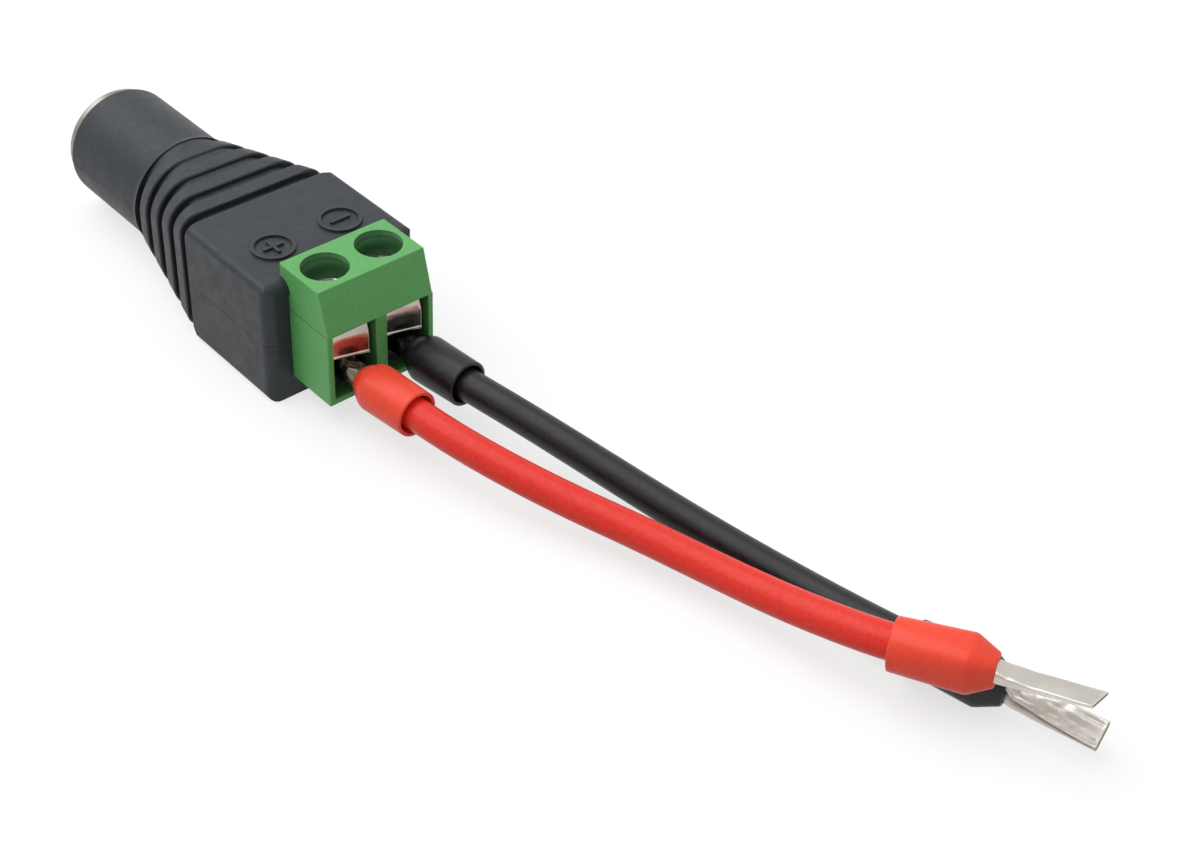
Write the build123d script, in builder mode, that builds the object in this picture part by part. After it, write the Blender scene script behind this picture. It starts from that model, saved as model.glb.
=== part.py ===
from build123d import *
import os
from math import radians, tan

os.makedirs("parts", exist_ok=True)

# Female barrel jack with a two-way screw terminal and two leads, in millimetres.
# X runs from the jack's mouth to the wires, Z is up, and the box's underside is Z = 0.

# Lengths along X, which add up to the length of the connector
rim_length = 1.0
barrel_length = 11.05
groove_count = 5
rib_pitch = 2.55
groove_width = 1.05
box_length = 11.3
terminal_reach = 5.0

# Box
box_width = 14.1
box_height = 10.7
box_edge_round = 0.6
box_front_side_round = 0.95
box_front_top_round = 0.9
box_front_bottom_round = 0.35
box_back_corner = 1.15
box_corner_run = 0.3

# Round barrel
barrel_radius = 5.1
barrel_edge_round = 0.3
lip_radius = 5.3
lip_length = 0.8

# Ribbed neck, from the barrel's round section to the box's rectangular one
neck_back_half_size = 5.25
neck_back_corner = 5.0
rib_edge_cut = 0.12
groove_side_depth = 0.75
groove_top_depth_at_barrel = 0.06
groove_top_depth_at_box = 0.58
core_side_flat = 0.1

# Hollow inside the shells
chamber_back_wall = 1.0
chamber_side_step = 0.5
seam_gap = 0.05
fit = 0.04

# Polarity marks on the box's top
mark_from_front = 4.6
mark_spacing = 6.3
mark_radius = 1.78
mark_ridge = 0.28
mark_arm = 1.8
mark_height = 0.2

# Barrel jack
rim_radius = 4.7
rim_edge_round = 0.25
plug_bore_radius = 2.95
mouth_chamfer = 0.35
sleeve_radius = 4.1
sleeve_body_length = 10.6
insulator_length = 1.8
insulator_flange_radius = 3.9
insulator_flange_length = 0.6
channel_radius = 3.5
pin_radius = 1.0
pin_setback = 1.2
pin_tip_round = 0.55
pin_tail_radius = 0.6
pin_tail_reach = 1.5
contact_thickness = 0.3
contact_width = 1.6
contact_lug_reach = 1.4
contact_spring_length = 8.3
contact_bow_from_insulator = 4.7
contact_bow_start = 1.7
contact_bow = 0.35
contact_slot_margin = 0.3

# Screw terminal
terminal_width = 9.84
terminal_height = 10.0
terminal_rise = 1.25
terminal_kink_drop = 3.7
terminal_slant = 1.05
terminal_edge_round = 0.12
terminal_ledge = 0.06
terminal_insert = 3.0
terminal_insert_cover = 1.1
terminal_lip_depth = 1.1
way_pitch = 5.0
opening_width = 4.0
opening_floor = 0.45
opening_back_wall = 0.6
screw_setback = 3.575
screw_hole_radius = 1.8
screw_mouth_radius = 1.9
screw_mouth_depth = 0.6

# Clamps
strip_thickness = 0.8
strip_width = 3.5
strip_bend_round = 0.9
strip_setback = 1.6
strip_top_drop = 0.35
tail_width = 2.0
tail_height = 3.45
tail_reach = 3.4
leaf_thickness = 0.3
leaf_bend = 0.35
leaf_foot_back = 4.7
leaf_top_back = 5.4
leaf_bulge_setback = 0.78
leaf_front_setback = 1.05
leaf_heel_setback = 1.45
leaf_crease_drop = 1.55
screw_thread_radius = 1.4
screw_head_radius = 1.7
screw_head_height = 1.1
screw_head_gap = 0.1
screw_head_chamfer = 0.15
screw_slot_width = 0.55
screw_slot_depth = 0.6
screw_slot_turns = {"plus": 62, "minus": 28}
link_radius = 0.4
link_straight = 2.0
link_bend = 1.2

# Leads and their crimp ferrules
wire_diameter = 2.55
collar_radius = 1.86
collar_straight = 4.6
collar_length = 6.0
collar_nose_radius = 1.1
collar_bore_radius = 1.45
collar_bore_depth = 3.6
collar_mouth_flare = 0.15
ferrule_pin_radius = 0.85
ferrule_pin_length = 6.9
crimp_start = 0.5
crimp_run = 0.9
crimp_root_flat = 0.05
arc_share = 0.45

# Crimped sections of the four ferrule pins: width, height, corner and turn about the pin
terminal_crimp = (2.0, 1.6, 0.35, 0)
free_crimps = {"red": (2.15, 0.5, 0.12, -5), "black": (2.1, 0.75, 0.2, 28)}

# Routes of the leads, from inside one collar to inside the other
lead_routes = {
    "red": [
        (23.13, -2.25, 4.00),
        (26.71, -1.92, 4.00),
        (30.96, -1.32, 3.84),
        (35.57, -0.05, 3.35),
        (40.46, 1.63, 2.83),
        (45.65, 3.43, 2.56),
        (50.99, 4.73, 2.64),
        (56.09, 5.65, 3.10),
        (60.84, 6.57, 3.81),
        (65.24, 7.73, 4.50),
        (68.48, 9.27, 4.82),
    ],
    "black": [
        (22.61, 2.95, 4.00),
        (26.19, 3.31, 4.00),
        (30.40, 4.13, 3.74),
        (35.06, 5.13, 3.23),
        (40.10, 6.22, 2.61),
        (45.34, 7.34, 1.99),
        (50.59, 8.46, 1.55),
        (55.59, 9.43, 1.40),
        (60.33, 10.12, 1.63),
        (64.75, 10.90, 1.86),
        (68.24, 11.77, 1.86),
    ],
}

# Places worked out from the sizes above
neck_length = (groove_count - 1) * rib_pitch + groove_width
overall_length = rim_length + barrel_length + neck_length + box_length + terminal_reach
rim_end_x = -overall_length / 2
barrel_end_x = rim_end_x + rim_length
neck_start_x = barrel_end_x + barrel_length
box_back_x = neck_start_x + neck_length
box_front_x = box_back_x + box_length
terminal_front_x = box_front_x + terminal_reach
axis_z = box_height / 2
sleeve_end_x = barrel_end_x + sleeve_body_length
bore_end_x = sleeve_end_x - insulator_length
flange_end_x = sleeve_end_x + insulator_flange_length
contact_radius = plug_bore_radius + contact_thickness / 2
contact_start_x = sleeve_end_x - contact_spring_length
terminal_back_x = box_front_x - terminal_insert
terminal_top_z = box_height + terminal_rise
terminal_base_z = terminal_top_z - terminal_height
terminal_kink_z = terminal_top_z - terminal_kink_drop
terminal_insert_top_z = box_height - terminal_insert_cover
opening_back_x = terminal_back_x + opening_back_wall
opening_floor_z = terminal_base_z + opening_floor
opening_top_z = terminal_kink_z
screw_x = terminal_front_x - screw_setback
strip_back_x = opening_back_x + fit
strip_front_x = terminal_front_x - strip_setback
strip_top_z = opening_top_z - strip_top_drop
strip_top_underside_z = strip_top_z - strip_thickness
strip_floor_z = opening_floor_z + strip_thickness
tail_z = terminal_base_z + tail_height
tail_end_x = terminal_back_x - tail_reach
leaf_top_z = strip_top_z + leaf_thickness / 2
leaf_foot_z = strip_floor_z + terminal_crimp[1] + leaf_thickness / 2

axis_line = Axis((0, 0, axis_z), (1, 0, 0))
axis_plane = Plane(origin=(0, 0, axis_z), x_dir=(1, 0, 0), z_dir=(0, -1, 0))


def between(start, end, share):
    """Size that lies a share of the way from start to end."""
    return start + (end - start) * share


def across(x):
    """Plane across the connector's axis at x, with its own X along +Y and Y along +Z."""
    return Plane(origin=(x, 0, axis_z), x_dir=(0, 1, 0), z_dir=(1, 0, 0))


def across_way(x, way_y):
    """Plane across one way of the terminal at x, with the floor as its own X axis."""
    return Plane(origin=(x, way_y, 0), x_dir=(0, 1, 0), z_dir=(1, 0, 0))


def neck_outline(x, sunk=False):
    """Rounded section of the neck at x: of its ribs, or of the core sunk by a groove's depth."""
    share = (x - neck_start_x) / neck_length
    half_width = between(neck_back_half_size, box_width / 2, share)
    half_height = between(neck_back_half_size, box_height / 2, share)
    corner = between(neck_back_corner, box_back_corner, share)
    if sunk:
        half_width -= groove_side_depth
        half_height -= between(groove_top_depth_at_barrel, groove_top_depth_at_box, share)
        corner = min(corner, half_width - core_side_flat)
    with BuildSketch(across(x)) as outline:
        RectangleRounded(2 * half_width, 2 * half_height, corner)
    return outline.sketch


def rib(start_x):
    """One rib of the neck, with the edges of its two rims broken."""
    end_x = start_x + rib_pitch - groove_width
    with BuildPart() as ring:
        loft(sections=[neck_outline(start_x), neck_outline(end_x)], ruled=True)
        chamfer(ring.faces().sort_by(Axis.X)[0].edges(), rib_edge_cut)
        chamfer(ring.faces().sort_by(Axis.X)[-1].edges(), rib_edge_cut)
    return ring.part


def box_outline(x, corner):
    with BuildSketch(across(x)) as outline:
        RectangleRounded(box_width, box_height, corner)
    return outline.sketch


def body_box():
    """Box of the body: its section along X, met by the rounded plan and side profiles."""
    with BuildPart() as block:
        corner_end_x = box_back_x + box_corner_run
        back = box_outline(box_back_x, box_back_corner)
        loft(sections=[back, box_outline(corner_end_x, box_edge_round)], ruled=True)
        extrude(box_outline(corner_end_x, box_edge_round), box_length - box_corner_run)
        with BuildSketch(Plane.XY) as plan:
            with Locations((box_front_x - box_length / 2, 0)):
                Rectangle(box_length, box_width)
            fillet(plan.vertices().group_by(Axis.X)[-1], box_front_side_round)
        extrude(amount=box_height, mode=Mode.INTERSECT)
        with BuildSketch(Plane.XZ) as side:
            with Locations((box_front_x - box_length / 2, axis_z)):
                Rectangle(box_length, box_height)
            front = side.vertices().group_by(Axis.X)[-1].sort_by(Axis.Y)
            fillet(front[-1], box_front_top_round)
            fillet(front[0], box_front_bottom_round)
        extrude(amount=box_width / 2, both=True, mode=Mode.INTERSECT)
    return block.part


def body_form():
    """Outside of the two shells together, with the hollows that hold the works."""
    with BuildPart() as form:
        add(body_box())
        # Neck: a tapering core that stands between its ribs as groove floors
        core_ends = [neck_outline(neck_start_x, sunk=True), neck_outline(box_back_x, sunk=True)]
        loft(sections=core_ends, ruled=True)
        for index in range(groove_count - 1):
            add(rib(neck_start_x + groove_width + index * rib_pitch))
        # Barrel, whose last stretch flares to a lip at the neck
        with BuildSketch(axis_plane):
            with BuildLine():
                Line((barrel_end_x, 0), (barrel_end_x, barrel_radius - barrel_edge_round))
                RadiusArc(
                    (barrel_end_x, barrel_radius - barrel_edge_round),
                    (barrel_end_x + barrel_edge_round, barrel_radius),
                    barrel_edge_round,
                )
                straight = Line(
                    (barrel_end_x + barrel_edge_round, barrel_radius),
                    (neck_start_x - lip_length, barrel_radius),
                )
                TangentArc(straight @ 1, (neck_start_x, lip_radius), tangent=straight % 1)
                Polyline(
                    (neck_start_x, lip_radius),
                    (neck_start_x, 0),
                    (barrel_end_x, 0),
                )
            make_face()
        revolve(axis=axis_line)
        # Bore for the jack, channel for the links and chamber behind the terminal
        chamber_back_x = box_back_x + chamber_back_wall
        with BuildSketch(across(barrel_end_x)):
            Circle(sleeve_radius + fit)
        extrude(amount=flange_end_x - barrel_end_x, mode=Mode.SUBTRACT)
        with BuildSketch(across(flange_end_x)):
            Circle(channel_radius)
        extrude(amount=chamber_back_x - flange_end_x, mode=Mode.SUBTRACT)
        insert_height = terminal_insert_top_z - terminal_base_z
        insert_mid_z = (terminal_insert_top_z + terminal_base_z) / 2
        with BuildSketch(across(chamber_back_x)):
            with Locations((0, insert_mid_z - axis_z)):
                Rectangle(
                    terminal_width - 2 * chamber_side_step,
                    insert_height - 2 * chamber_side_step,
                )
        extrude(amount=terminal_back_x - chamber_back_x, mode=Mode.SUBTRACT)
        # Recess that the terminal is set in
        with BuildSketch(across(terminal_back_x)):
            with Locations((0, insert_mid_z - axis_z)):
                Rectangle(terminal_width + 2 * fit, insert_height + 2 * fit)
        extrude(amount=terminal_insert, mode=Mode.SUBTRACT)
    return form.part


# Shells of the body
body = body_form()
with BuildPart() as upper_shell:
    add(body)
    split(bisect_by=Plane.XY.offset(axis_z + seam_gap / 2), keep=Keep.TOP)
    # Raised ring with a plus on the red side, and one with a minus on the black side
    mark_x = box_front_x - mark_from_front
    with BuildSketch(Plane.XY.offset(box_height)):
        with Locations((mark_x, -mark_spacing / 2), (mark_x, mark_spacing / 2)):
            Circle(mark_radius)
            Circle(mark_radius - mark_ridge, mode=Mode.SUBTRACT)
            Rectangle(mark_ridge, mark_arm)
        with Locations((mark_x, -mark_spacing / 2)):
            Rectangle(mark_arm, mark_ridge)
    extrude(amount=mark_height)
upper_shell.part.label = "upper_shell"
export_step(upper_shell.part, "parts/upper_shell.step")

with BuildPart() as lower_shell:
    add(body)
    split(bisect_by=Plane.XY.offset(axis_z - seam_gap / 2), keep=Keep.BOTTOM)
lower_shell.part.label = "lower_shell"
export_step(lower_shell.part, "parts/lower_shell.step")

# Plated sleeve: a rim that stands out of the barrel, and a slotted tube behind it
with BuildPart() as jack_sleeve:
    with BuildSketch(across(rim_end_x)):
        Circle(rim_radius)
    extrude(amount=rim_length)
    with BuildSketch(across(barrel_end_x)):
        Circle(sleeve_radius)
    extrude(amount=sleeve_body_length)
    rim_circle = jack_sleeve.faces().sort_by(Axis.X)[0].edges()
    fillet(rim_circle, rim_edge_round)
    with BuildSketch(across(rim_end_x)):
        Circle(plug_bore_radius)
    extrude(amount=rim_length + sleeve_body_length, mode=Mode.SUBTRACT)
    mouth_edge = jack_sleeve.faces().sort_by(Axis.X)[0].edges().sort_by(SortBy.RADIUS)[0]
    chamfer(mouth_edge, mouth_chamfer)
    # Slot that the spring lies in, open at the back
    slot_start_x = contact_start_x - contact_slot_margin
    with BuildSketch(Plane.XY.offset(axis_z - sleeve_radius)):
        with Locations(((slot_start_x + sleeve_end_x) / 2, 0)):
            Rectangle(sleeve_end_x - slot_start_x, contact_width + 2 * contact_slot_margin)
    extrude(amount=sleeve_radius, mode=Mode.SUBTRACT)
jack_sleeve.part.label = "jack_sleeve"
export_step(jack_sleeve.part, "parts/jack_sleeve.step")

# Insulating disc that plugs the sleeve's back and carries the centre pin
with BuildPart() as jack_insulator:
    with BuildSketch(across(bore_end_x)):
        Circle(plug_bore_radius - fit)
    extrude(amount=insulator_length)
    with BuildSketch(across(sleeve_end_x)):
        Circle(insulator_flange_radius)
    extrude(amount=insulator_flange_length)
    with BuildSketch(across(bore_end_x)):
        Circle(pin_tail_radius + fit)
    extrude(amount=insulator_length + insulator_flange_length, mode=Mode.SUBTRACT)
    # Notch that the spring's tail passes through
    with BuildSketch(across(sleeve_end_x)):
        with Locations((0, -insulator_flange_radius)):
            notch_depth = insulator_flange_radius - plug_bore_radius + fit
            Rectangle(contact_width + 2 * fit, 2 * notch_depth)
    extrude(amount=insulator_flange_length, mode=Mode.SUBTRACT)
jack_insulator.part.label = "jack_insulator"
export_step(jack_insulator.part, "parts/jack_insulator.step")

# Centre pin, shouldered on the insulator, with its tail through it
pin_tail_end_x = flange_end_x + pin_tail_reach
with BuildPart() as centre_pin:
    with BuildSketch(across(rim_end_x + pin_setback)):
        Circle(pin_radius)
    extrude(amount=bore_end_x - rim_end_x - pin_setback)
    fillet(centre_pin.faces().sort_by(Axis.X)[0].edges(), pin_tip_round)
    with BuildSketch(across(bore_end_x)):
        Circle(pin_tail_radius)
    extrude(amount=pin_tail_end_x - bore_end_x)
centre_pin.part.label = "centre_pin"
export_step(centre_pin.part, "parts/centre_pin.step")

# Spring that presses on the plug's barrel, bowed into the bore from its slot
contact_end_x = flange_end_x + contact_lug_reach
with BuildPart() as sleeve_contact:
    with BuildSketch(axis_plane) as blade:
        with BuildLine():
            Polyline(
                (contact_end_x, -contact_radius),
                (bore_end_x - contact_bow_start, -contact_radius),
                (bore_end_x - contact_bow_from_insulator, -contact_radius + contact_bow),
                (contact_start_x, -contact_radius),
            )
        trace(line_width=contact_thickness)
    extrude(amount=contact_width / 2, both=True)
sleeve_contact.part.label = "sleeve_contact"
export_step(sleeve_contact.part, "parts/sleeve_contact.step")

# Green housing of the terminal: one profile along Y, with a way on each side of the middle
ways = {"plus": -way_pitch / 2, "minus": way_pitch / 2}
with BuildPart() as terminal_housing:
    with BuildSketch(Plane.XZ) as profile:
        with BuildLine():
            lip_arc_start = (box_front_x - box_front_top_round, box_height + fit)
            lip_arc_end = (box_front_x + fit, box_height - box_front_top_round)
            Polyline(
                lip_arc_end,
                (box_front_x + fit, terminal_insert_top_z),
                (terminal_back_x, terminal_insert_top_z),
                (terminal_back_x, terminal_base_z),
                (terminal_front_x, terminal_base_z),
                (terminal_front_x, terminal_kink_z),
                (terminal_front_x - terminal_slant, terminal_top_z),
                (box_front_x - terminal_lip_depth, terminal_top_z),
                (box_front_x - terminal_lip_depth, box_height + fit),
                lip_arc_start,
            )
            RadiusArc(lip_arc_start, lip_arc_end, box_front_top_round + fit)
        make_face()
    extrude(amount=terminal_width / 2, both=True)
    sides = terminal_housing.faces().sort_by(Axis.Y)
    fillet(sides[0].edges() + sides[-1].edges(), terminal_edge_round)
    # Lower part, wider by the small ledge that the mould leaves at the height of the kink
    with BuildSketch(Plane.XY.offset(terminal_base_z)) as lower_part:
        with Locations(((box_front_x + fit + terminal_front_x) / 2, 0)):
            Rectangle(terminal_reach - fit, terminal_width + 2 * terminal_ledge)
        fillet(lower_part.vertices().group_by(Axis.X)[-1], terminal_edge_round)
    extrude(amount=terminal_kink_z - terminal_base_z)
    for way_y in ways.values():
        with BuildSketch(across_way(opening_back_x, way_y)):
            with Locations((0, (opening_floor_z + opening_top_z) / 2)):
                Rectangle(opening_width, opening_top_z - opening_floor_z)
        extrude(amount=terminal_front_x - opening_back_x, mode=Mode.SUBTRACT)
        with BuildSketch(Plane.XY.offset(opening_top_z)):
            with Locations((screw_x, way_y)):
                Circle(screw_hole_radius)
        extrude(amount=terminal_top_z - opening_top_z, mode=Mode.SUBTRACT)
        with BuildSketch(Plane.XY.offset(terminal_top_z - screw_mouth_depth)):
            with Locations((screw_x, way_y)):
                Circle(screw_mouth_radius)
        extrude(amount=screw_mouth_depth, mode=Mode.SUBTRACT)
        with BuildSketch(across_way(terminal_back_x, way_y)):
            with Locations((0, tail_z)):
                Rectangle(tail_width + 2 * fit, strip_thickness + 2 * fit)
        extrude(amount=opening_back_wall, mode=Mode.SUBTRACT)
terminal_housing.part.label = "terminal_housing"
export_step(terminal_housing.part, "parts/terminal_housing.step")

# Clamps: in each way a C-shaped strip, a bent leaf and the screw that presses it
for way, way_y in ways.items():
    way_plane = Plane(origin=(0, way_y, 0), x_dir=(1, 0, 0), z_dir=(0, -1, 0))
    with BuildPart() as clamp_frame:
        with BuildSketch(way_plane) as strip:
            strip_length = strip_front_x - strip_back_x
            strip_height = strip_top_z - opening_floor_z
            with Locations((strip_back_x + strip_length / 2, opening_floor_z + strip_height / 2)):
                Rectangle(strip_length, strip_height)
            fillet(strip.vertices().group_by(Axis.X)[0], strip_bend_round)
            with Locations((strip_front_x, opening_floor_z + strip_height / 2)):
                Rectangle(
                    2 * (strip_length - strip_thickness),
                    strip_height - 2 * strip_thickness,
                    mode=Mode.SUBTRACT,
                )
        extrude(amount=strip_width / 2, both=True)
        with BuildSketch(way_plane):
            tail_length = strip_back_x - tail_end_x
            with Locations((tail_end_x + tail_length / 2, tail_z)):
                Rectangle(tail_length, strip_thickness)
        extrude(amount=tail_width / 2, both=True)
        with BuildSketch(Plane.XY.offset(strip_top_underside_z)):
            with Locations((screw_x, way_y)):
                Circle(screw_thread_radius + fit)
        extrude(amount=strip_thickness, mode=Mode.SUBTRACT)
    clamp_frame.part.label = f"{way}_clamp_frame"
    export_step(clamp_frame.part, f"parts/{way}_clamp_frame.step")

    with BuildPart() as clamp_leaf:
        with BuildSketch(way_plane):
            with BuildLine():
                FilletPolyline(
                    (terminal_front_x - leaf_top_back, leaf_top_z),
                    (terminal_front_x - leaf_front_setback, leaf_top_z),
                    (terminal_front_x - leaf_bulge_setback, leaf_top_z - leaf_crease_drop),
                    (terminal_front_x - leaf_heel_setback, leaf_foot_z),
                    (terminal_front_x - leaf_foot_back, leaf_foot_z),
                    radius=leaf_bend,
                )
            trace(line_width=leaf_thickness)
        extrude(amount=strip_width / 2, both=True)
        with BuildSketch(Plane.XY.offset(strip_top_z)):
            with Locations((screw_x, way_y)):
                Circle(screw_thread_radius + 2 * fit)
        extrude(amount=leaf_thickness, mode=Mode.SUBTRACT)
    clamp_leaf.part.label = f"{way}_clamp_leaf"
    export_step(clamp_leaf.part, f"parts/{way}_clamp_leaf.step")

    screw_point_z = leaf_foot_z + leaf_thickness / 2
    screw_head_z = strip_top_z + leaf_thickness + screw_head_gap
    with BuildPart() as clamp_screw:
        with BuildSketch(Plane.XY.offset(screw_point_z)):
            with Locations((screw_x, way_y)):
                Circle(screw_thread_radius)
        extrude(amount=screw_head_z - screw_point_z)
        with BuildSketch(Plane.XY.offset(screw_head_z)):
            with Locations((screw_x, way_y)):
                Circle(screw_head_radius)
        extrude(amount=screw_head_height)
        chamfer(clamp_screw.faces().sort_by(Axis.Z)[-1].edges(), screw_head_chamfer)
        with BuildSketch(Plane.XY.offset(screw_head_z + screw_head_height - screw_slot_depth)):
            with Locations(Location((screw_x, way_y), screw_slot_turns[way])):
                Rectangle(2 * screw_head_radius, screw_slot_width)
        extrude(amount=screw_slot_depth, mode=Mode.SUBTRACT)
    clamp_screw.part.label = f"{way}_clamp_screw"
    export_step(clamp_screw.part, f"parts/{way}_clamp_screw.step")

# Links inside the body, from the jack's tails to the clamps' tails
link_starts = {
    "plus": (pin_tail_end_x, axis_z),
    "minus": (contact_end_x, axis_z - contact_radius),
}
for way, way_y in ways.items():
    start_x, start_z = link_starts[way]
    with BuildPart() as link:
        with BuildLine() as link_route:
            FilletPolyline(
                (start_x, 0, start_z),
                (start_x + link_straight, 0, start_z),
                (tail_end_x - link_straight, way_y, tail_z),
                (tail_end_x, way_y, tail_z),
                radius=link_bend,
            )
        with BuildSketch(Plane(origin=link_route.line @ 0, z_dir=link_route.line % 0)):
            Circle(link_radius)
        sweep()
    link.part.label = f"{way}_link"
    export_step(link.part, f"parts/{way}_link.step")


def arc_radii(points):
    """For each corner of a route, the largest arc that its two runs leave room for."""
    places = [Vector(*point) for point in points]
    radii = []
    for before, corner, after in zip(places, places[1:], places[2:]):
        shorter_run = min((corner - before).length, (after - corner).length)
        turn = (corner - before).get_angle(after - corner)
        radii.append(arc_share * shorter_run / tan(radians(turn / 2)))
    return radii


def ferrule_pieces(mouth, inside, crimp):
    """Collar and pin of one ferrule. The wire enters its mouth and ends at the inside point."""
    wire_end = Vector(*inside)
    axis = (wire_end - Vector(*mouth)).normalized()
    mouth = wire_end - axis * collar_bore_depth
    side = axis.cross(Vector(0, 0, 1)).normalized()
    width, height, corner, turn = crimp

    def section(distance):
        return Plane(origin=mouth + axis * distance, x_dir=side, z_dir=axis)

    with BuildPart() as collar:
        with BuildSketch(Plane(origin=mouth, x_dir=axis, z_dir=side)):
            with BuildLine():
                Polyline(
                    (0, collar_bore_radius + collar_mouth_flare),
                    (0, collar_radius),
                    (collar_straight, collar_radius),
                    (collar_length, collar_nose_radius),
                    (collar_length, ferrule_pin_radius),
                    (collar_bore_depth, ferrule_pin_radius),
                    (collar_bore_depth, collar_bore_radius),
                    (collar_mouth_flare, collar_bore_radius),
                    close=True,
                )
            make_face()
        revolve(axis=Axis(mouth, axis))

    round_end = collar_length + crimp_start
    pin_end = collar_length + ferrule_pin_length
    with BuildPart() as pin:
        with BuildSketch(section(collar_bore_depth)):
            Circle(ferrule_pin_radius)
        extrude(amount=round_end - collar_bore_depth)
        with BuildSketch(section(round_end)):
            root_width = 2 * ferrule_pin_radius
            root_corner = ferrule_pin_radius - crimp_root_flat
            RectangleRounded(root_width, root_width, root_corner, rotation=turn)
        with BuildSketch(section(round_end + crimp_run)):
            RectangleRounded(width, height, corner, rotation=turn)
        loft(ruled=True)
        with BuildSketch(section(round_end + crimp_run)):
            RectangleRounded(width, height, corner, rotation=turn)
        extrude(amount=pin_end - round_end - crimp_run)
    return collar.part, pin.part


for colour, route in lead_routes.items():
    radii = arc_radii(route)
    print(f"{colour} lead arc radii:", ", ".join(f"{radius:.1f}" for radius in radii))
    with BuildPart() as lead:
        with BuildLine() as lead_path:
            FilletPolyline(*route, radius=radii)
        with BuildSketch(Plane(origin=lead_path.line @ 0, z_dir=lead_path.line % 0)):
            Circle(wire_diameter / 2)
        sweep()
    lead.part.label = f"{colour}_lead"
    export_step(lead.part, f"parts/{colour}_lead.step")

    ends = {
        "terminal": (route[1], route[0], terminal_crimp),
        "free": (route[-2], route[-1], free_crimps[colour]),
    }
    for end, (mouth, inside, crimp) in ends.items():
        collar_part, pin_part = ferrule_pieces(mouth, inside, crimp)
        collar_part.label = f"{colour}_{end}_collar"
        export_step(collar_part, f"parts/{colour}_{end}_collar.step")
        pin_part.label = f"{colour}_{end}_pin"
        export_step(pin_part, f"parts/{colour}_{end}_pin.step")
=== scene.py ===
import math

import bmesh
import bpy
from mathutils import Matrix, Vector, noise


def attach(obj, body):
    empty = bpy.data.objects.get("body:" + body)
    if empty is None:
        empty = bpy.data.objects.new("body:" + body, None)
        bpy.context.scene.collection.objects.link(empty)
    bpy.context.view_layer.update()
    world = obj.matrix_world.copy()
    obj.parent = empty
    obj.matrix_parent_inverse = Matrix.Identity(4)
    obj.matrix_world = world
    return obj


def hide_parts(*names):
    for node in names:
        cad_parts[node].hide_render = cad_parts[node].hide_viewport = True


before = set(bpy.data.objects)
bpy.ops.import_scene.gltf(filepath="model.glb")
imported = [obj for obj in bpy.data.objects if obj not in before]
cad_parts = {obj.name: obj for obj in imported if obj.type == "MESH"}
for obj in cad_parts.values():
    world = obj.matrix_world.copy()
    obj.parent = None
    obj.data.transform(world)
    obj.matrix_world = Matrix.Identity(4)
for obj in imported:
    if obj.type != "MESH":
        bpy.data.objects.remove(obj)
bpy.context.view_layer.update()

MM = 0.001
scene = bpy.context.scene

# Lengths are in millimetres, apart from those of the light and the floor

# Leads: the same routes as the CAD tubes
wire_diameter = 2.55
lead_routes = {
    "red": [
        (23.13, -2.25, 4.00),
        (26.71, -1.92, 4.00),
        (30.96, -1.32, 3.84),
        (35.57, -0.05, 3.35),
        (40.46, 1.63, 2.83),
        (45.65, 3.43, 2.56),
        (50.99, 4.73, 2.64),
        (56.09, 5.65, 3.10),
        (60.84, 6.57, 3.81),
        (65.24, 7.73, 4.50),
        (68.48, 9.27, 4.82),
    ],
    "black": [
        (22.61, 2.95, 4.00),
        (26.19, 3.31, 4.00),
        (30.40, 4.13, 3.74),
        (35.06, 5.13, 3.23),
        (40.10, 6.22, 2.61),
        (45.34, 7.34, 1.99),
        (50.59, 8.46, 1.55),
        (55.59, 9.43, 1.40),
        (60.33, 10.12, 1.63),
        (64.75, 10.90, 1.86),
        (68.24, 11.77, 1.86),
    ],
}

# Ferrule collars, with distances from the collar's mouth. Their section goes from round at the
# mouth to squarish at the nose.
collar_radius = 1.86
collar_mouth_radius = 1.6
collar_shoulder = 4.75
collar_length = 6.0
collar_nose_radius = 1.14
collar_nose_taper = 0.2
collar_bore_radius = 1.45
collar_bore_depth = 3.6
collar_bell_depth = 0.5
collar_square_start = 0.8
collar_square_run = 3.6
collar_square_trim = 0.035

# Ferrule pins
ferrule_pin_radius = 0.85
ferrule_pin_end = 12.9
pin_ring_spacing = 0.1
pin_seeds = {"red": 3.0, "black": 11.0}

# Bumps on a pin, by a noise with its scale along, across and up, and a finer share of it
bump_scale = (0.8, 1.5, 0.6)
fine_bump_scale = 2.3
fine_bump_share = 0.35

# Grooves along the end of a pin, with the radians that one millimetre across takes in their wave
groove_start = 10.2
groove_run = 1.4
groove_end_run = 0.3
groove_wave = 9.5

# Fold down the near side of a pin: its height and spread as shares of the half height, and its
# depth as a share of the full fold, each at the fold's start and at its end
fold_start = 6.0
fold_run = 6.0
fold_heights = (0.47, 0.25)
fold_spreads = (0.42, 0.22)
fold_depths = (1.0, 0.55)
fold_side_start = 0.15
fold_side_run = 0.35

# Cut end of a pin: where its slant starts, and the slit that its mouth is pressed to
slant_start = 7.0
slit_depth = 0.35
slit_side_wall = 0.07
slit_wall = 0.12
slit_least_share = 0.55

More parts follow.
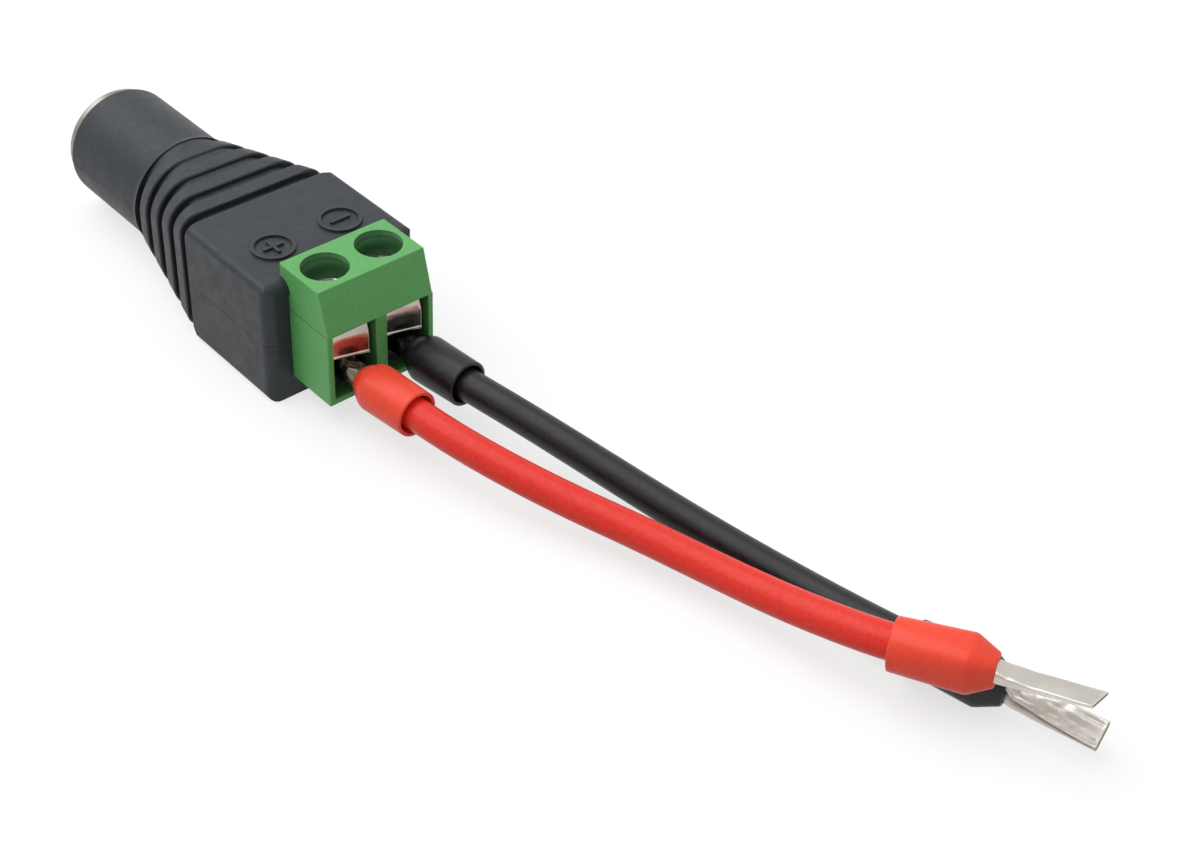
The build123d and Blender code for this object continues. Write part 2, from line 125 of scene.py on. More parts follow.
# Key sections of the pins, from inside the collar to the cut end: distance, half width, half
# height, squareness, sink and wear
pin_start = (collar_bore_depth, ferrule_pin_radius, ferrule_pin_radius, 2, 0, 0)
pin_root = [pin_start, (6.1, 0.84, 0.84, 2, 0, 0.2)]
terminal_sections = pin_root + [
    (7.1, 0.95, 0.72, 3.2, 0, 1),
    (9.5, 0.97, 0.74, 3.6, 0, 1),
    (ferrule_pin_end, 0.96, 0.72, 3.6, 0, 0.6),
]
red_free_sections = [
    pin_start,
    (6.2, 0.96, 0.6, 3, 0.06, 0.3),
    (7.3, 1.01, 0.4, 4, 0.14, 0.6),
    (9.0, 1.03, 0.25, 5, 0.2, 0.5),
    (ferrule_pin_end + 0.25, 1.03, 0.14, 6, 0.24, 0.4),
]
black_free_sections = pin_root + [
    (7.2, 0.98, 0.56, 2.8, 0, 0.9),
    (10.0, 1.04, 0.42, 3.4, 0, 1),
    (ferrule_pin_end, 1.06, 0.34, 4.2, 0, 0.4),
]

# Screws of the terminal's two ways, with the turns of their slots in degrees
way_places = {"plus": -2.5, "minus": 2.5}
screw_x = 16.225
screw_head_top = 9.4
screw_slot_turns = {"plus": 62, "minus": 28}
screw_slot_half = 0.3

# Land beside a screw's slot, and its rings as height over the head and scale
screw_land_radius = 1.6
screw_land_middle = 0.9
screw_land_steps = 10
screw_land_rings = [(-0.02, 1.0), (0.63, 1.0), (0.65, 0.985), (0.49, 0.84), (0.47, 0.8)]

# Liner of a screw well, up its inside and down its outside: height, radius, and how far its middle
# is set over to the front
well_liner_rings = [
    (9.78, 1.57, 0.2),
    (10.3, 1.585, 0.198),
    (10.74, 1.6, 0.195),
    (11.1, 1.69, 0.1),
    (11.34, 1.755, 0.03),
    (11.4, 1.8, 0.0),
    (11.46, 1.8, 0.0),
    (11.5, 1.86, 0.0),
    (11.9, 1.885, 0.0),
    (11.9, 1.897, 0.0),
    (11.36, 1.897, 0.0),
    (11.34, 1.797, 0.0),
    (9.78, 1.797, 0.0),
]

# Clamp leaf. For each millimetre across it runs forward and down, and its lower parts lie over to
# the near side.
leaf_half_width = 1.75
leaf_thickness = 0.3
leaf_top = 8.2
leaf_forward = 0.2
leaf_down = 0.07
leaf_over = 0.06

# Outer line of the leaf (x, z) from its foot on the pin, up its front and back under the screw,
# with the share of the front's turn that it has there
leaf_path = [
    (15.1, 4.8, 0.0),
    (17.4, 4.8, 0.3),
    (18.2, 4.82, 0.8),
    (18.66, 4.9, 1.0),
    (18.91, 5.03, 1.0),
    (19.06, 5.2, 1.0),
    (19.11, 5.3, 1.0),
    (19.115, 5.35, 1.0),
    (19.09, 5.4, 1.0),
    (19.05, 5.43, 1.0),
    (19.035, 5.48, 1.0),
    (19.025, 5.8, 1.0),
    (19.01, 6.2, 1.0),
    (18.985, 6.6, 1.0),
    (18.955, 6.85, 1.0),
    (18.9, 7.05, 1.0),
    (18.8, 7.35, 1.0),
    (18.68, 7.7, 0.9),
    (18.55, 7.98, 0.8),
    (18.4, 8.13, 0.7),
    (18.15, 8.2, 0.6),
    (17.7, 8.2, 0.5),
]

# Section of the leaf (across, out, rounding), with the bead along its right edge
leaf_section = [
    (-leaf_half_width, 0.0, 0.04),
    (leaf_half_width - 0.16, 0.0, 0.03),
    (leaf_half_width - 0.1, 0.045, 0.03),
    (leaf_half_width, 0.03, 0.03),
    (leaf_half_width, -leaf_thickness, 0.04),
    (-leaf_half_width, -leaf_thickness, 0.04),
]

# Light and floor, in metres and watts. What a gloss sees of the studio goes from the first strength
# to the second over the directions between the two values of Y.
key_place = (-0.27, -0.17, 0.61)
key_target = (0.03, 0.003, 0.005)
key_side = 0.8
key_power = 3.95
fill_strength = 0.5
gloss_strengths = (0.7, 1.0)
gloss_directions = (-0.85, 0.1)
floor_half_side = 3.0
floor_tone = 0.36
floor_glow = 0.68

# Scales of the materials' noises, per metre. Two of them vary the roughness, by the spread that
# stands below each.
speckle_scale = 3200
sheen_scale = 900
sheen_spread = (-0.06, 0.06)
cloud_scale = 500
drawn_line_scale = 2200
drawn_line_spread = (-0.05, 0.07)


# Materials
class Shader:
    """Small helper for a node material whose Principled shader is at hand."""

    def __init__(self, name):
        self.material = bpy.data.materials.new(name)
        self.material.use_nodes = True
        self.nodes = self.material.node_tree.nodes
        self.links = self.material.node_tree.links
        self.surface = self.nodes["Principled BSDF"]
        self.place = self.nodes.new("ShaderNodeTexCoord").outputs["Object"]

    def set(self, **values):
        for name, value in values.items():
            self.surface.inputs[name.replace("_", " ")].default_value = value

    def noise(self, scale, detail=2.0, place=None):
        node = self.nodes.new("ShaderNodeTexNoise")
        node.inputs["Scale"].default_value = scale
        node.inputs["Detail"].default_value = detail
        node.inputs["Roughness"].default_value = 0.5
        self.links.new(place or self.place, node.inputs["Vector"])
        return node.outputs["Fac"]

    def stretched(self, scale):
        node = self.nodes.new("ShaderNodeMapping")
        node.inputs["Scale"].default_value = scale
        self.links.new(self.place, node.inputs["Vector"])
        return node.outputs["Vector"]

    def two_tones(self, factor, colours):
        """From the first colour to the second over the middle of a noise's range."""
        node = self.nodes.new("ShaderNodeValToRGB")
        for element, position, colour in zip(node.color_ramp.elements, (0.35, 0.65), colours):
            element.position = position
            element.color = (*colour, 1)
        self.links.new(factor, node.inputs["Fac"])
        return node.outputs["Color"]

    def range(self, factor, low, high, start=0.3, end=0.7):
        node = self.nodes.new("ShaderNodeMapRange")
        node.inputs["From Min"].default_value = start
        node.inputs["From Max"].default_value = end
        node.inputs["To Min"].default_value = low
        node.inputs["To Max"].default_value = high
        self.links.new(factor, node.inputs["Value"])
        return node.outputs["Result"]

    def bump(self, height, distance, normal):
        node = self.nodes.new("ShaderNodeBump")
        node.inputs["Distance"].default_value = distance
        node.inputs["Strength"].default_value = 1.0
        self.links.new(height, node.inputs["Height"])
        self.links.new(normal, node.inputs["Normal"])
        return node.outputs["Normal"]

    def soft_edges(self, radius):
        node = self.nodes.new("ShaderNodeBevel")
        node.samples = 6
        node.inputs["Radius"].default_value = radius
        return node.outputs["Normal"]

    def edge_mask(self, soft_normal):
        """1 along the edges, where the softened normal leaves the face's own, and 0 on the faces."""
        facing = self.nodes.new("ShaderNodeVectorMath")
        facing.operation = "DOT_PRODUCT"
        self.links.new(soft_normal, facing.inputs[0])
        self.links.new(self.nodes.new("ShaderNodeNewGeometry").outputs["Normal"], facing.inputs[1])
        return self.range(facing.outputs["Value"], 1, 0, start=0.86, end=0.99)

    def openness(self, reach, closed, opened):
        """0 deep in the piece's own grooves and holes, and 1 out on its faces."""
        node = self.nodes.new("ShaderNodeAmbientOcclusion")
        node.samples = 8
        node.only_local = True
        node.inputs["Distance"].default_value = reach
        return self.range(node.outputs["AO"], 0, 1, start=closed, end=opened)

    def mix(self, share, first, second):
        node = self.nodes.new("ShaderNodeMix")
        node.data_type = "RGBA"
        self.links.new(share, node.inputs["Factor"])
        for socket, colour in ((node.inputs[6], first), (node.inputs[7], second)):
            if isinstance(colour, tuple):
                socket.default_value = (*colour, 1)
            else:
                self.links.new(colour, socket)
        return node.outputs[2]

    def with_recess_shade(self, colour, recess_shade):
        """The colour, with painted shade in the depth of grooves and holes.

        The painted shade is given as its colour, its reach in millimetres, and the shares of open
        surroundings where it is full and where it ends."""
        if not recess_shade:
            return colour
        shade_colour, reach, closed, opened = recess_shade
        return self.mix(self.openness(reach * MM, closed, opened), shade_colour, colour)

    def to(self, output, name):
        self.links.new(output, self.surface.inputs[name])


def moulded_plastic(
    name, colours, edge_highlight, roughness, grain_mm, grain_depth_mm, edge_mm=0.06, recess_shade=None, **values
):
    """Moulded plastic: two close colours, a painted highlight along the edges, painted shade in grooves and
    holes where one is given, a fine grain and softened edges.
    """
    shader = Shader(name)
    shader.set(**values)
    speckle = shader.two_tones(shader.noise(speckle_scale, detail=3), colours)
    edges = shader.soft_edges(edge_mm * MM)
    # Painted highlight along the edges, then painted shade deep in grooves and holes
    colour = shader.mix(shader.edge_mask(edges), speckle, edge_highlight)
    shader.to(shader.with_recess_shade(colour, recess_shade), "Base Color")
    low, high = (roughness + change for change in sheen_spread)
    shader.to(shader.range(shader.noise(sheen_scale, detail=3), low, high), "Roughness")
    grain = shader.noise(1 / (grain_mm * MM), detail=1.5)
    shader.to(shader.bump(grain, grain_depth_mm * MM, edges), "Normal")
    return shader.material


def plated_metal(
    name, colours, roughness, line_depth_mm, stretch=(1, 1, 1), edge_mm=0.04, worn_edges=0.0,
    edge_highlight=None, recess_shade=None,
):
    """Plated metal: a cloudy tone, fine drawn lines along the stretched directions, and edges that
    are rougher than the faces by the worn value. Where given, a painted highlight lies along the
    edges and painted shade deep in grooves and holes."""
    shader = Shader(name)
    shader.set(Metallic=1.0)
    edges = shader.soft_edges(edge_mm * MM)
    edge_share = shader.edge_mask(edges)
    colour = shader.two_tones(shader.noise(cloud_scale, detail=3), colours)
    # Painted highlight along the edges where one is given, and painted shade in the piece's recesses
    if edge_highlight:
        colour = shader.mix(edge_share, colour, edge_highlight)
    shader.to(shader.with_recess_shade(colour, recess_shade), "Base Color")
    lines = shader.noise(drawn_line_scale, place=shader.stretched(stretch))
    wear = shader.nodes.new("ShaderNodeMath")
    wear.operation = "MULTIPLY_ADD"
    wear.inputs[1].default_value = worn_edges
    shader.links.new(edge_share, wear.inputs[0])
    low, high = (roughness + change for change in drawn_line_spread)
    shader.links.new(shader.range(lines, low, high), wear.inputs[2])
    shader.to(wear.outputs[0], "Roughness")
    shader.to(shader.bump(lines, line_depth_mm * MM, edges), "Normal")
    return shader.material


# Painted highlight along the edges, and near-black painted shade in the neck's grooves and about the raised
# marks
black_body = moulded_plastic(
    "black_body", [(0.028, 0.033, 0.039), (0.037, 0.042, 0.048)], edge_highlight=(0.068, 0.073, 0.080),
    roughness=0.5, grain_mm=0.12, grain_depth_mm=0.008, edge_mm=0.08,
    recess_shade=((0.003, 0.003, 0.004), 0.8, 0.2, 0.78), Specular_IOR_Level=0.32,
)
# Painted highlight along the edges, and painted shade deep in the terminal's ways and holes
green_housing = moulded_plastic(
    "green_housing", [(0.112, 0.405, 0.112), (0.128, 0.445, 0.128)], edge_highlight=(0.25, 0.60, 0.24),
    roughness=0.42, grain_mm=0.16, grain_depth_mm=0.003, edge_mm=0.15,
    recess_shade=((0.006, 0.018, 0.008), 4.5, 0.36, 0.95), Specular_IOR_Level=0.35,
)
# The housing's green painted darker for the shade down a screw well, with more painted shade deeper in
shade_darkened_green = moulded_plastic(
    "shade_darkened_green", [(0.05, 0.19, 0.055), (0.06, 0.215, 0.062)], edge_highlight=(0.05, 0.19, 0.055),
    roughness=0.45, grain_mm=0.16, grain_depth_mm=0.003,
    recess_shade=((0.008, 0.052, 0.015), 5.0, 0.34, 0.94), Specular_IOR_Level=0.3,
)
# Painted highlight along the edges
black_insulator = moulded_plastic(
    "black_insulator", [(0.015, 0.015, 0.016), (0.022, 0.022, 0.022)], edge_highlight=(0.03, 0.03, 0.03),
    roughness=0.5, grain_mm=0.1, grain_depth_mm=0.004,
)
# Painted highlight along the edges, such as the collar's mouth rim
red_collar_plastic = moulded_plastic(
    "red_collar_plastic", [(0.93, 0.064, 0.028), (0.97, 0.074, 0.034)], edge_highlight=(1.0, 0.24, 0.15),
    roughness=0.36, grain_mm=0.8, grain_depth_mm=0.0015, edge_mm=0.16, Specular_IOR_Level=0.35,
)
# Painted highlight along the edges, such as the collar's mouth rim
black_collar_plastic = moulded_plastic(
    "black_collar_plastic", [(0.008, 0.009, 0.011), (0.014, 0.015, 0.017)],
    edge_highlight=(0.08, 0.08, 0.084),
    roughness=0.36, grain_mm=0.5, grain_depth_mm=0.003, edge_mm=0.16, Specular_IOR_Level=0.32,
)
# Painted highlight along the edges
red_insulation = moulded_plastic(
    "red_insulation", [(0.80, 0.034, 0.020), (0.88, 0.044, 0.026)], edge_highlight=(0.9, 0.07, 0.05),
    roughness=0.36, grain_mm=0.6, grain_depth_mm=0.003, Specular_IOR_Level=0.27,
)
# Painted highlight along the edges
black_insulation = moulded_plastic(
    "black_insulation", [(0.009, 0.0095, 0.011), (0.016, 0.0165, 0.019)], edge_highlight=(0.03, 0.03, 0.03),
    roughness=0.38, grain_mm=0.4, grain_depth_mm=0.006, Specular_IOR_Level=0.32,
)
plated_sleeve = plated_metal(
    "plated_sleeve", [(0.27, 0.255, 0.235), (0.34, 0.325, 0.295)],
    roughness=0.34, line_depth_mm=0.0012, stretch=(0.1, 1, 1),
)
plated_clamp = plated_metal(
    "plated_clamp", [(0.40, 0.36, 0.31), (0.52, 0.48, 0.42)],
    roughness=0.15, line_depth_mm=0.0003, edge_mm=0.1, worn_edges=0.35,
)
# Zinc painted darker for the shade that the clamp frames stand in, inside the terminal
shade_darkened_zinc = plated_metal(
    "shade_darkened_zinc", [(0.16, 0.155, 0.145), (0.24, 0.23, 0.215)], roughness=0.42, line_depth_mm=0.001
)
screw_steel = plated_metal(
    "screw_steel", [(0.88, 0.86, 0.82), (0.95, 0.93, 0.90)],
    roughness=0.3, line_depth_mm=0.0006, edge_mm=0.08, worn_edges=0.1,
)
tin_tones = [(0.55, 0.52, 0.465), (0.64, 0.61, 0.55)]
tinned_copper = plated_metal("tinned_copper", tin_tones, roughness=0.25, line_depth_mm=0.0002)
# Tin with a painted highlight along the blade's thin sides, and brown painted shade inside its slit end
blade_tin = plated_metal(
    "blade_tin", tin_tones, roughness=0.25, line_depth_mm=0.0002,
    edge_mm=0.14, edge_highlight=(0.95, 0.91, 0.82), recess_shade=((0.09, 0.045, 0.03), 0.4, 0.5, 0.92),
)
# Tin painted lighter for the floor's light on its underside, with painted shade tinged red by a painted
# reflection of the red collar down its fold
lit_tin = plated_metal(
    "lit_tin", [(0.57, 0.535, 0.49), (0.67, 0.635, 0.59)],
    roughness=0.42, line_depth_mm=0.0002, recess_shade=((0.045, 0.016, 0.014), 0.6, 0.64, 0.985),
)
# Tin painted dark for the shade in the terminal's red way, where the near red pin lies
shade_darkened_tin = plated_metal(
    "shade_darkened_tin", [(0.07, 0.06, 0.05), (0.30, 0.255, 0.21)], roughness=0.32, line_depth_mm=0.002
)
shaded_tin = plated_metal(
    "shaded_tin", [(0.02, 0.02, 0.02), (0.085, 0.083, 0.08)], roughness=0.36, line_depth_mm=0.002
)

node_materials = {
    "upper_shell": black_body,
    "lower_shell": black_body,
    "jack_sleeve": plated_sleeve,
    "jack_insulator": black_insulator,
    "centre_pin": plated_sleeve,
    "sleeve_contact": plated_sleeve,
    "terminal_housing": green_housing,
    "plus_clamp_frame": shade_darkened_zinc,
    "minus_clamp_frame": shade_darkened_zinc,
    "plus_clamp_leaf": plated_clamp,
    "minus_clamp_leaf": plated_clamp,
    "plus_clamp_screw": screw_steel,
    "minus_clamp_screw": screw_steel,
    "plus_link": tinned_copper,
    "minus_link": tinned_copper,
    "red_terminal_pin": tinned_copper,
    "black_terminal_pin": tinned_copper,
    "red_free_pin": tinned_copper,
    "black_free_pin": tinned_copper,
    "red_terminal_collar": red_collar_plastic,
    "red_free_collar": red_collar_plastic,
    "black_terminal_collar": black_collar_plastic,
    "black_free_collar": black_collar_plastic,
}
for node_name, node_material in node_materials.items():
    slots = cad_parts[node_name].data.materials
    slots.clear()
    slots.append(node_material)


# Values and meshes
def ramp_up(value, start, run):
    """0 up to the start, and 1 from a run beyond it."""
    return min(1.0, max(0.0, (value - start) / run))


def between(ends, share):
    return ends[0] + (ends[1] - ends[0]) * share


def add_object(name, data):
    item = bpy.data.objects.new(name, data)
    scene.collection.objects.link(item)
    return item


def skin(name, rings, material, loop=False):
    """Mesh through rings of points: capped at both ends, or closed on itself as a loop of rings."""
    mesh = bmesh.new()
    loops = [[mesh.verts.new(point * MM) for point in ring] for ring in rings]
    pairs = list(zip(loops, loops[1:]))
    if loop:
        pairs.append((loops[-1], loops[0]))
    else:
        mesh.faces.new(loops[0][::-1])
        mesh.faces.new(loops[-1])
    for first, second in pairs:
        for index in range(len(first)):
            beside = (index + 1) % len(first)
            mesh.faces.new((first[index], first[beside], second[beside], second[index]))
    bmesh.ops.recalc_face_normals(mesh, faces=mesh.faces)
    for face in mesh.faces:
        face.smooth = True
    data = bpy.data.meshes.new(name)
    mesh.to_mesh(data)
    mesh.free()
    data.materials.append(material)
    piece = add_object(name, data)
    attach(piece, "root")
    return piece


def oval(half_width, half_height, squareness, count):
    """Closed oval: an ellipse at a squareness of 2, and nearer a rectangle the higher it is."""
    points = []
    for index in range(count):
        turn = 2 * math.pi * index / count
        across = math.copysign(abs(math.cos(turn)) ** (2 / squareness), math.cos(turn))
        up = math.copysign(abs(math.sin(turn)) ** (2 / squareness), math.sin(turn))
        points.append((half_width * across, half_height * up))
    return points


def rounded_loop(corners, steps=5):
    """Closed profile whose corners (x, y, rounding) are cut back by their rounding to a curve."""
    profile = []
    for index, (x, y, rounding) in enumerate(corners):
        corner = Vector((x, y))
        before = Vector(corners[index - 1][:2])
        after = Vector(corners[(index + 1) % len(corners)][:2])
        start = corner + (before - corner).normalized() * rounding
        end = corner + (after - corner).normalized() * rounding
        for step in range(steps + 1):
            share = step / steps
            profile.append(start.lerp(corner, share).lerp(corner.lerp(end, share), share))
    return profile


def stations(keys, spacing):
    """Rows of values along a length, eased between the key rows and about a spacing apart."""
    rows = [keys[0]]
    for first, second in zip(keys, keys[1:]):
        count = max(1, round((second[0] - first[0]) / spacing))
        for step in range(1, count + 1):
            share = step / count
            eased = share * share * (3 - 2 * share)
            others = [between(ends, eased) for ends in zip(first[1:], second[1:])]
            rows.append((between((first[0], second[0]), share), *others))
    return rows


# Ferrules
class Ferrule:
    """Place of one ferrule: its collar's mouth, and the directions along it, to its side and up."""

    def __init__(self, colour, end):
        route = [Vector(point) for point in lead_routes[colour]]
        mouth, inside = (route[1], route[0]) if end == "terminal" else (route[-2], route[-1])
        self.name = f"{colour}_{end}"
        self.colour = colour
        self.along = (inside - mouth).normalized()
        self.side = self.along.cross(Vector((0, 0, 1))).normalized()
        self.up = self.side.cross(self.along)
        self.mouth = inside - self.along * collar_bore_depth

    def point(self, distance, across, up, turn=0.0):
        """Point of a section at a distance along the ferrule, turned about its axis in radians."""
        sideways = math.cos(turn) * across - math.sin(turn) * up
        upwards = math.sin(turn) * across + math.cos(turn) * up
        return self.mouth + self.along * distance + self.side * sideways + self.up * upwards


def collar(ferrule, material, squareness, shoulder_round, overlap=0.0, longer_nose=0.0):
    """Plastic collar: a bell mouth on the wire, a shoulder and a squarish cone down to the pin.

    The overlap is how far its mouth reaches back over the wire, past the ferrule's own mouth."""
    nose_end = collar_length + longer_nose
    nose_radius = collar_nose_radius - collar_nose_taper * longer_nose
    profile = rounded_loop(
        [
            (-overlap, collar_mouth_radius, 0.08),
            (-overlap, collar_radius, 0.12),
            (collar_shoulder, collar_radius, shoulder_round),
            (nose_end, nose_radius, 0.12),
            (nose_end, ferrule_pin_radius, 0.02),
            (collar_bore_depth, ferrule_pin_radius, 0.02),
            (collar_bore_depth, collar_bore_radius, 0.05),
            (collar_bell_depth - overlap, collar_bore_radius, 0.25),
        ]
    )
    rings = []
    for distance, radius in profile:
        outside = radius > collar_bore_radius + 0.1 or distance > collar_shoulder
        share = ramp_up(distance, collar_square_start, collar_square_run) if outside else 0.0
        section_squareness = between((2, squareness), share)
        trimmed = radius * (1 - collar_square_trim * (section_squareness - 2))
        section = oval(trimmed, trimmed, section_squareness, count=64)
        rings.append([ferrule.point(distance, across, up) for across, up in section])
    piece = skin(f"{ferrule.name}_ferrule_collar", rings, material, loop=True)
    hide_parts(f"{ferrule.name}_collar")
    return piece


def pin(ferrule, keys, material, seed, turn, crumple, cut_back=0.0, fold=0.0, grooves=0.0):
    """Crimped pin through its key sections, turned about its axis in radians.

    The crumple is how high its bumps are, the cut back slants the cut end, the fold is a crease
    down the near side, and the grooves run along the last stretch of the flat."""
    end = keys[-1][0]
    rings = []
    for distance, half_width, half_height, squareness, sink, wear in stations(keys, pin_ring_spacing):
        groove_share = min(
            ramp_up(distance, groove_start, groove_run), ramp_up(end - distance, 0.0, groove_end_run)
        )
        run = ramp_up(distance, fold_start, fold_run)
        slant = cut_back * ramp_up(distance, slant_start, end - slant_start)
        ring = []
        for across, up in oval(half_width, half_height, squareness, count=120):
            place = Vector((distance * bump_scale[0], across * bump_scale[1], up * bump_scale[2] + seed))
            bump = noise.noise(place) + fine_bump_share * noise.noise(place * fine_bump_scale)
            bumped = wear * crumple * abs(bump) * min(1.0, 2 * abs(up) / half_height)
            grooved = grooves * groove_share * (0.5 + 0.5 * math.cos(across * groove_wave))
            lift = up + math.copysign(1.0, up) * (bumped - grooved)
            level = (up / half_height - between(fold_heights, run)) / between(fold_spreads, run)
            near_side = ramp_up(across / half_width, fold_side_start, fold_side_run)
            crease = fold * between(fold_depths, run) * math.exp(-level * level) * near_side
            along = distance - slant * (0.5 + 0.5 * across / half_width)
            ring.append(ferrule.point(along, across - crease, lift - sink, turn))
        rings.append(ring)
    # Mouth of the tube at its cut end
    _, half_width, half_height, squareness, sink, _ = keys[-1]
    slit_half_height = max(slit_least_share * half_height, half_height - slit_wall)
    for depth in (0.0, slit_depth):
        ring = []
        for across, up in oval(half_width - slit_side_wall, slit_half_height, squareness, count=120):
            along = end - depth - cut_back * (0.5 + 0.5 * across / half_width)
            ring.append(ferrule.point(along, across, up - sink, turn))
        rings.append(ring)
    piece = skin(f"{ferrule.name}_ferrule_pin", rings, material)
    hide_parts(f"{ferrule.name}_pin")
    return piece


# Leads
def lead(colour, insulation, collar_material, near_pin_material, free_pin):
    """Insulated wire along its route, as one smooth curve, with a ferrule on each end.

    The free pin is given as what pin() takes beside its ferrule and seed."""
    curve = bpy.data.curves.new(f"{colour}_wire", "CURVE")
    curve.dimensions = "3D"
    curve.bevel_depth = wire_diameter / 2 * MM
    curve.bevel_resolution = 12
    curve.use_fill_caps = True
    spline = curve.splines.new("NURBS")
    route = lead_routes[colour]
    spline.points.add(len(route) - 1)
    for point, place in zip(spline.points, route):
        point.co = (*(Vector(place) * MM), 1)
    spline.order_u = 3
    spline.use_endpoint_u = True
    spline.resolution_u = 16
    curve.materials.append(insulation)
    wire = add_object(f"{colour}_wire", curve)
    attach(wire, "root")
    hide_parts(f"{colour}_lead")

    near, far = Ferrule(colour, "terminal"), Ferrule(colour, "free")
    seed = pin_seeds[colour]
    ends = [
        collar(near, collar_material, squareness=2.35, shoulder_round=0.45),
        collar(far, collar_material, squareness=3.4, shoulder_round=0.2, overlap=0.4, longer_nose=0.4),
        pin(near, terminal_sections, near_pin_material, seed, turn=0.0, crumple=0.4, grooves=0.1),
        pin(far, seed=seed + 5, **free_pin),
    ]


red_free_pin = {
    "keys": red_free_sections,
    "material": blade_tin,
    "turn": math.radians(12),
    "crumple": 0.03,
    "cut_back": 0.65,
}
black_free_pin = {
    "keys": black_free_sections,
    "material": lit_tin,
    "turn": math.radians(-28),
    "crumple": 0.14,
    "fold": 0.5,
    "grooves": 0.1,
}
# The near pins take tin painted dark for the shade inside the terminal's ways
lead("red", red_insulation, red_collar_plastic, shade_darkened_tin, red_free_pin)
lead("black", black_insulation, black_collar_plastic, shaded_tin, black_free_pin)


# Terminal details
def well_liner(way):
    """Green wall of a screw well, painted dark for the shade down the well. It tapers and sets over
    to clear the black lid behind it.
    """
    rings = []
    for height, radius, shift in well_liner_rings:
        circle = oval(radius, radius, 2, count=64)
        rings.append([Vector((screw_x + shift + x, way_places[way] + y, height)) for x, y in circle])
    piece = skin(f"{way}_well_liner", rings, shade_darkened_green, loop=True)


def screw_land(way, side):
    """One of the two lands that a screw head has beside its slot, with its burred rim."""
    turn = math.radians(screw_slot_turns[way])
    reach = math.acos(screw_slot_half / screw_land_radius)
    angles = [reach * step / screw_land_steps for step in range(-screw_land_steps, screw_land_steps + 1)]
    rings = []
    for height, scale in screw_land_rings:
        ring = []
        for angle in angles:
            along = screw_land_radius * math.sin(angle) * scale
            out = screw_land_middle + (screw_land_radius * math.cos(angle) - screw_land_middle) * scale
            ring.append(Vector((
                screw_x + math.cos(turn) * along - math.sin(turn) * side * out,
                way_places[way] + math.sin(turn) * along + math.cos(turn) * side * out,
                screw_head_top + height,
            )))
        rings.append(ring)
    piece = skin(f"{way}_screw_land_{'left' if side > 0 else 'right'}", rings, screw_steel)


def clamp_leaf(way):
    """Bent leaf of a clamp: a foot on the pin, a tall front face turned a little to the near side,
    with a bead along its right edge, and a sloping top that runs back under the screw's head."""
    section = rounded_loop(leaf_section, steps=3)
    rings = []
    for index, (x, z, turned) in enumerate(leaf_path):
        before = Vector(leaf_path[max(index - 1, 0)][:2])
        after = Vector(leaf_path[min(index + 1, len(leaf_path) - 1)][:2])
        way_on = (after - before).normalized()
        ring = []
        for across, out in section:
            ring.append(Vector((
                x + way_on.y * out + leaf_forward * across * turned,
                way_places[way] + across - leaf_over * (leaf_top - z) * turned,
                z - way_on.x * out - leaf_down * across * turned,
            )))
        rings.append(ring)
    piece = skin(f"{way}_leaf", rings, plated_clamp)
    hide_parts(f"{way}_clamp_leaf")


for way_name in way_places:
    well_liner(way_name)
    screw_land(way_name, 1)
    screw_land(way_name, -1)
    clamp_leaf(way_name)


# Floor, light and camera
def camera_ray_share(nodes, links):
    """1 for rays that the camera, a gloss or a transmission sees, and 0 for light on the object."""
    path = nodes.new("ShaderNodeLightPath")
    seen = path.outputs["Is Camera Ray"]
    for name in ("Is Glossy Ray", "Is Transmission Ray"):
        either = nodes.new("ShaderNodeMath")
        either.operation = "MAXIMUM"
        links.new(seen, either.inputs[0])
        links.new(path.outputs[name], either.inputs[1])
        seen = either.outputs[0]
    return seen


def floor_material():
    """Pale matte floor that looks white where no shadow falls on it."""
    material = bpy.data.materials.new("pale_floor")
    material.use_nodes = True
    nodes, links = material.node_tree.nodes, material.node_tree.links
    nodes.clear()
    diffuse = nodes.new("ShaderNodeBsdfDiffuse")
    diffuse.inputs["Color"].default_value = (floor_tone, floor_tone, floor_tone, 1)
    glow = nodes.new("ShaderNodeEmission")
    glow.inputs["Color"].default_value = (1, 1, 1, 1)
    strength = nodes.new("ShaderNodeMath")
    strength.operation = "MULTIPLY"
    strength.inputs[1].default_value = floor_glow
    links.new(camera_ray_share(nodes, links), strength.inputs[0])
    links.new(strength.outputs[0], glow.inputs["Strength"])
    both = nodes.new("ShaderNodeAddShader")
    links.new(diffuse.outputs[0], both.inputs[0])
    links.new(glow.outputs[0], both.inputs[1])
    output = nodes.new("ShaderNodeOutputMaterial")
    links.new(both.outputs[0], output.inputs["Surface"])
    return material


def add_floor():
    mesh = bpy.data.meshes.new("floor")
    corners = [(x * floor_half_side, y * floor_half_side, 0) for x, y in ((-1, -1), (1, -1), (1, 1), (-1, 1))]
    mesh.from_pydata(corners, [], [(0, 1, 2, 3)])
    mesh.materials.append(floor_material())
    floor = add_object("floor", mesh)


def chosen_value(nodes, links, share, otherwise, chosen):
    """The chosen value where the share is 1. Each value is a number or another node's output."""
    node = nodes.new("ShaderNodeMapRange")
    links.new(share, node.inputs["Value"])
    for socket, value in ((node.inputs["To Min"], otherwise), (node.inputs["To Max"], chosen)):
        if isinstance(value, float):
            socket.default_value = value
        else:
            links.new(value, socket)
    return node.outputs["Result"]


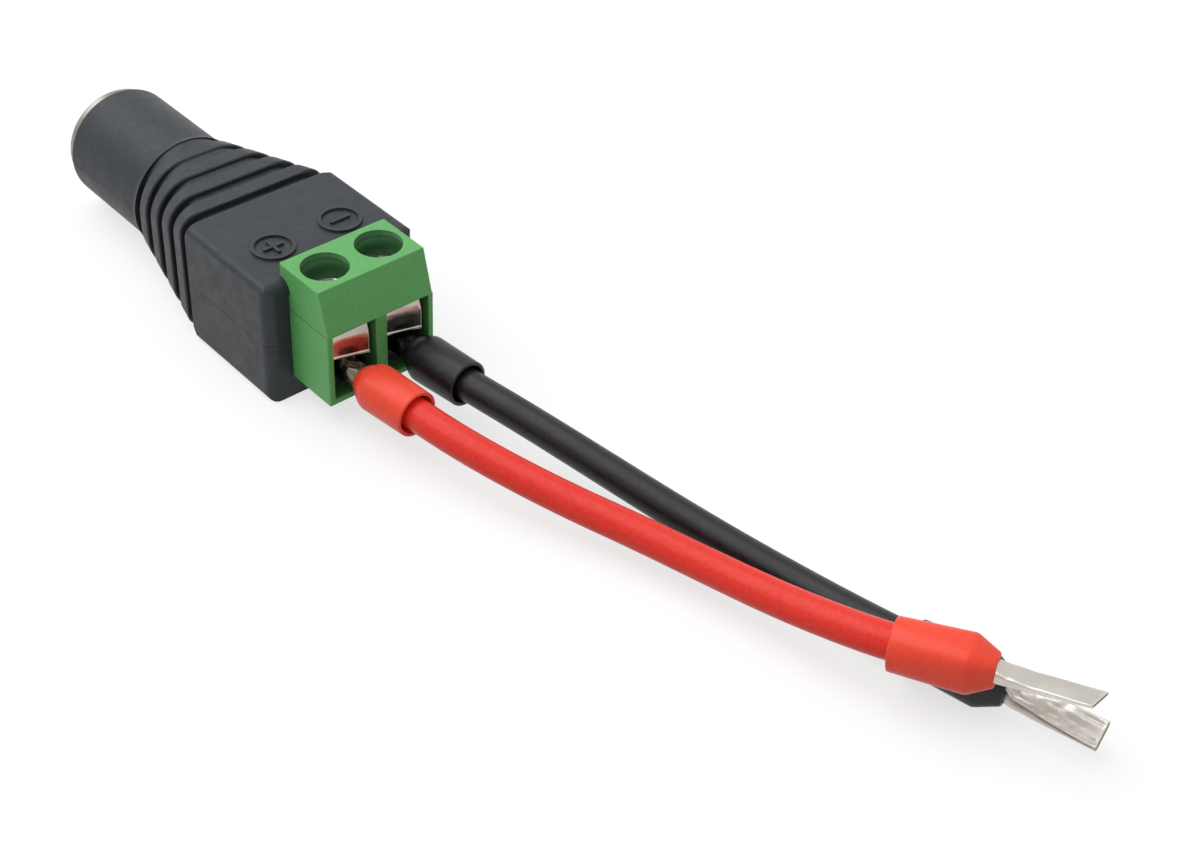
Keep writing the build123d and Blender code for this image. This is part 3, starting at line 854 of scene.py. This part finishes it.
def set_world():
    """White studio. In a gloss, its near side is dimmer, as where the camera and its stand are."""
    world = bpy.data.worlds.new("studio")
    scene.world = world
    world.use_nodes = True
    nodes, links = world.node_tree.nodes, world.node_tree.links
    background = nodes["Background"]
    background.inputs["Color"].default_value = (1, 1, 1, 1)
    direction = nodes.new("ShaderNodeSeparateXYZ")
    links.new(nodes.new("ShaderNodeTexCoord").outputs["Generated"], direction.inputs[0])
    graded = nodes.new("ShaderNodeMapRange")
    graded.inputs["From Min"].default_value, graded.inputs["From Max"].default_value = gloss_directions
    graded.inputs["To Min"].default_value, graded.inputs["To Max"].default_value = gloss_strengths
    links.new(direction.outputs["Y"], graded.inputs["Value"])
    gloss = graded.outputs["Result"]
    path = nodes.new("ShaderNodeLightPath")
    strength = fill_strength
    for name, value in (("Is Glossy Ray", gloss), ("Is Transmission Ray", gloss), ("Is Camera Ray", 1.0)):
        strength = chosen_value(nodes, links, path.outputs[name], strength, value)
    links.new(strength, background.inputs["Strength"])


def add_key_light():
    """Large square softbox, high up and behind the jack's end."""
    lamp = bpy.data.lights.new("key", "AREA")
    lamp.shape = "RECTANGLE"
    lamp.size = lamp.size_y = key_side
    lamp.energy = key_power
    light = add_object("key", lamp)
    light.location = key_place
    light.rotation_euler = (Vector(key_target) - Vector(key_place)).to_track_quat("-Z", "Y").to_euler()


def add_camera():
    """Camera at the photograph's place, fitted to the connector's edges."""
    image_width, image_height = 1200, 846
    focal_px = 1906.5
    axis_column, axis_row = 520, 355
    place = Vector((114.914, -68.082, 93.546)) * MM
    back = Vector((0.6026, -0.5198, 0.6055)).normalized()
    up = Vector((-0.4753, 0.3758, 0.7955))
    right = up.cross(back).normalized()
    up = back.cross(right)
    data = bpy.data.cameras.new("camera")
    data.sensor_width = 36
    data.lens = focal_px * data.sensor_width / image_width
    data.shift_x = (image_width / 2 - axis_column) / image_width
    data.shift_y = -(image_height / 2 - axis_row) / image_width
    data.clip_start = 0.01
    camera = add_object("camera", data)
    turn = Matrix((right, up, back)).transposed()
    camera.matrix_world = Matrix.Translation(place) @ turn.to_4x4()
    scene.camera = camera


add_floor()
set_world()
add_key_light()
add_camera()
scene.view_settings.view_transform = "Standard"
